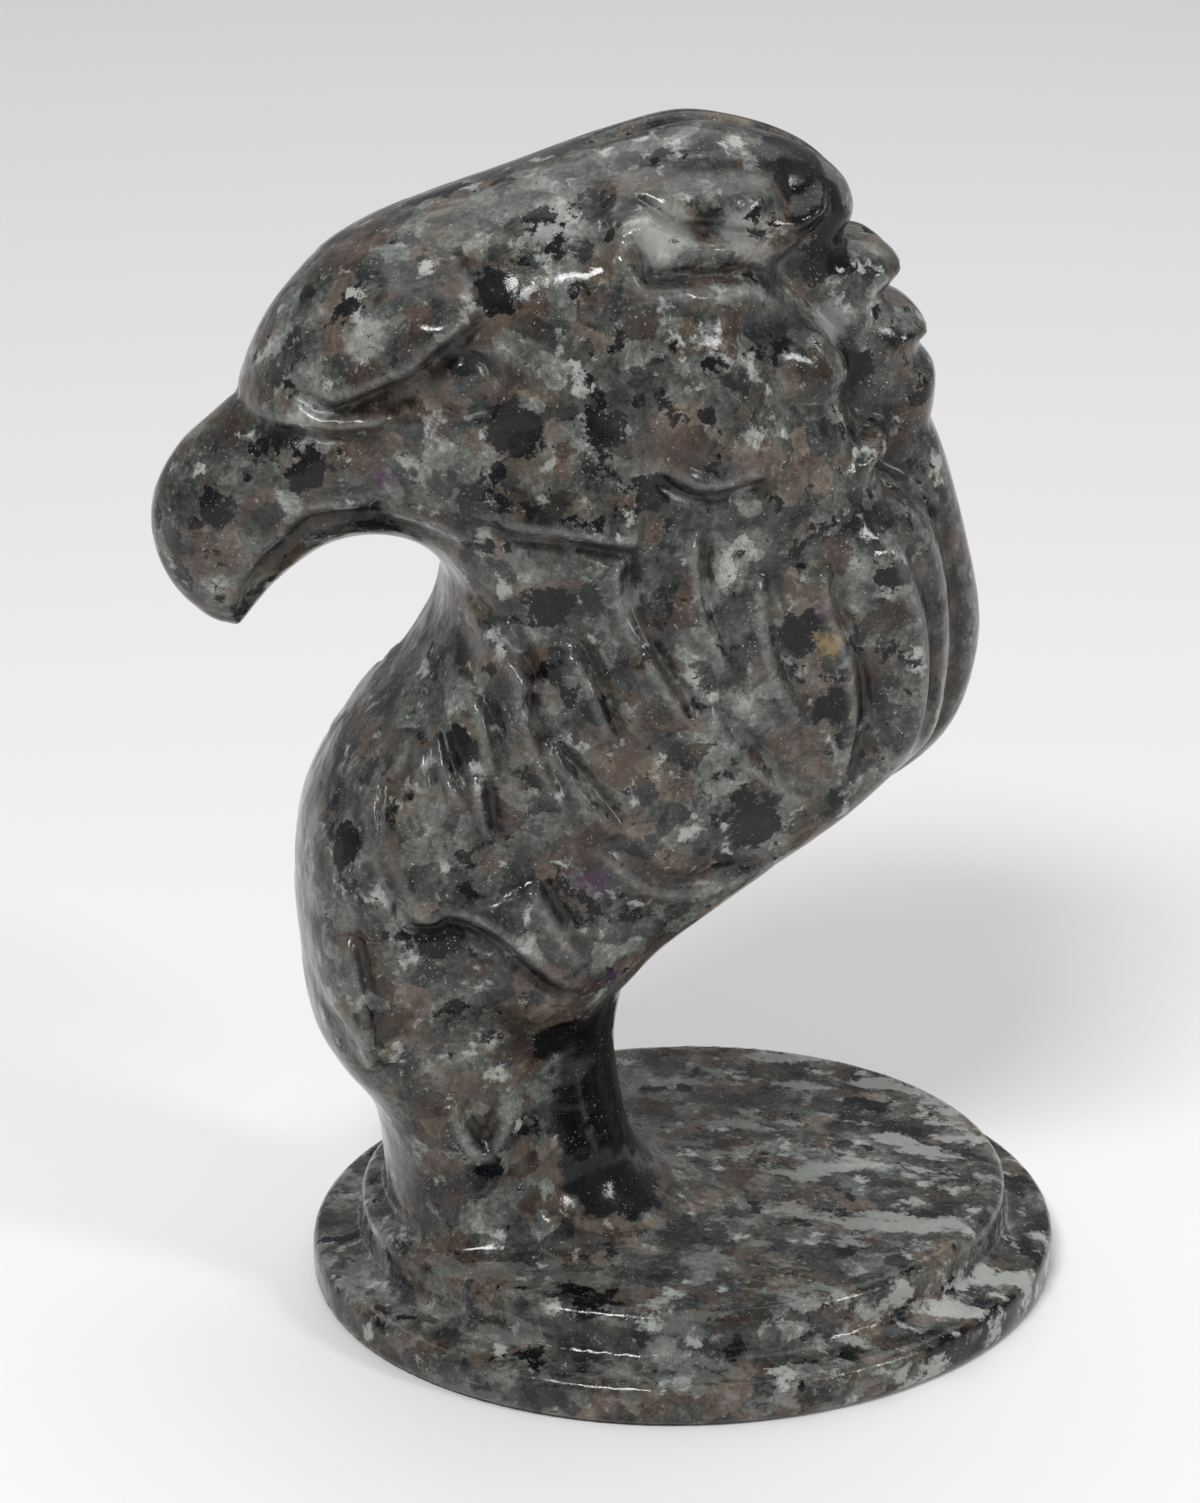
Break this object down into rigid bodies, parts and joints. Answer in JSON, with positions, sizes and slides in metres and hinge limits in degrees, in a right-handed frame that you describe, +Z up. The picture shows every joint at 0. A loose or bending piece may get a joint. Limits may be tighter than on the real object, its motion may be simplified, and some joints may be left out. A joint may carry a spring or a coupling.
{
  "type": "stone eagle head carving",
  "caption": "Eagle head with swept-back crest and feathered neck, carved with its oval stepped plinth from one block of polished mottled stone.",
  "frame": {"origin": "centre of the plinth's flat underside", "axes": "+Z up from the underside to the crown, beak towards -X, +Y towards the figure's right side"},
  "size_m": [0.0833, 0.064, 0.1105],
  "materials": {
    "polished_stone": "polished, mottled grey-green with pink-brown and black grains and clear pale patches"
  },
  "bodies": {
    "root": {"eagle_head_carving": "polished_stone"}
  },
  "joints": []
}
